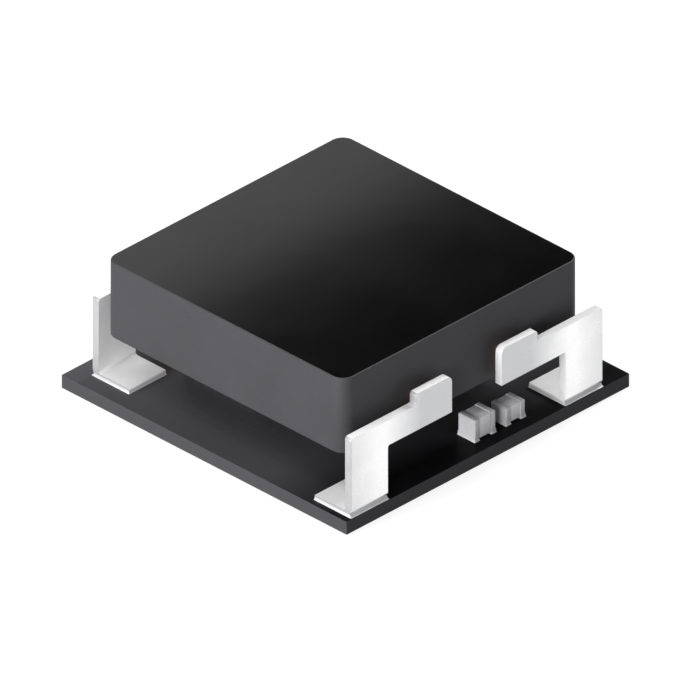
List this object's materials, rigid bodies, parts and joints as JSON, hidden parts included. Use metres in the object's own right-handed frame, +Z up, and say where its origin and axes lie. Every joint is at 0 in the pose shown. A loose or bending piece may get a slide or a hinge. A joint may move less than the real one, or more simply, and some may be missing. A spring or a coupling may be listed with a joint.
{
  "type": "power module",
  "caption": "Square power module: a magnetic block raised over a thin laminate board on bent tinned clips, with a field of solder lands underneath.",
  "frame": {"origin": "centre of the board's underside, which is the plane that the lands lie in", "axes": "+Z up from the board to the block; +X towards the edge with the two small chips; -Y towards the side that the right clips stand closest to"},
  "size_m": [0.016, 0.016, 0.0065],
  "materials": {
    "board_laminate": "gloss",
    "land_gold": "satin",
    "pressed_powder": "satin",
    "bar_copper": "satin",
    "tinned_sheet": "satin",
    "solder": "gloss",
    "package_mould": "matte",
    "lead_frame": "satin",
    "chip_ends": "satin",
    "edge_ceramic": "satin",
    "capacitor_ceramic": "satin",
    "resistor_ceramic": "satin"
  },
  "bodies": {
    "root": {"bypass_capacitor_1_body": "capacitor_ceramic", "bypass_capacitor_1_ends": "chip_ends", "bypass_capacitor_2_body": "capacitor_ceramic", "bypass_capacitor_2_ends": "chip_ends", "bypass_capacitor_3_body": "capacitor_ceramic", "bypass_capacitor_3_ends": "chip_ends", "bypass_capacitor_4_body": "capacitor_ceramic", "bypass_capacitor_4_ends": "chip_ends", "chip_solder": "solder", "clip_left_far": "tinned_sheet", "clip_left_near": "tinned_sheet", "clip_right_far": "tinned_sheet", "clip_right_near": "tinned_sheet", "conductor_far": "bar_copper", "conductor_near": "bar_copper", "controller_leads": "lead_frame", "controller_mould": "package_mould", "edge_capacitor_low_body": "edge_ceramic", "edge_capacitor_low_ends": "chip_ends", "edge_capacitor_tall_body": "edge_ceramic", "edge_capacitor_tall_ends": "chip_ends", "foot_solder": "solder", "inductor_block": "pressed_powder", "input_capacitor_1_body": "capacitor_ceramic", "input_capacitor_1_ends": "chip_ends", "input_capacitor_2_body": "capacitor_ceramic", "input_capacitor_2_ends": "chip_ends", "input_capacitor_3_body": "capacitor_ceramic", "input_capacitor_3_ends": "chip_ends", "input_capacitor_4_body": "capacitor_ceramic", "input_capacitor_4_ends": "chip_ends", "laminate_board": "board_laminate", "output_capacitor_1_body": "capacitor_ceramic", "output_capacitor_1_ends": "chip_ends", "output_capacitor_2_body": "capacitor_ceramic", "output_capacitor_2_ends": "chip_ends", "output_capacitor_3_body": "capacitor_ceramic", "output_capacitor_3_ends": "chip_ends", "output_capacitor_4_body": "capacitor_ceramic", "output_capacitor_4_ends": "chip_ends", "power_stage_far_leads": "lead_frame", "power_stage_far_mould": "package_mould", "power_stage_near_leads": "lead_frame", "power_stage_near_mould": "package_mould", "setting_resistor_1_body": "resistor_ceramic", "setting_resistor_1_ends": "chip_ends", "setting_resistor_2_body": "resistor_ceramic", "setting_resistor_2_ends": "chip_ends", "setting_resistor_3_body": "resistor_ceramic", "setting_resistor_3_ends": "chip_ends", "setting_resistor_4_body": "resistor_ceramic", "setting_resistor_4_ends": "chip_ends", "underside_lands": "land_gold"}
  },
  "joints": []
}
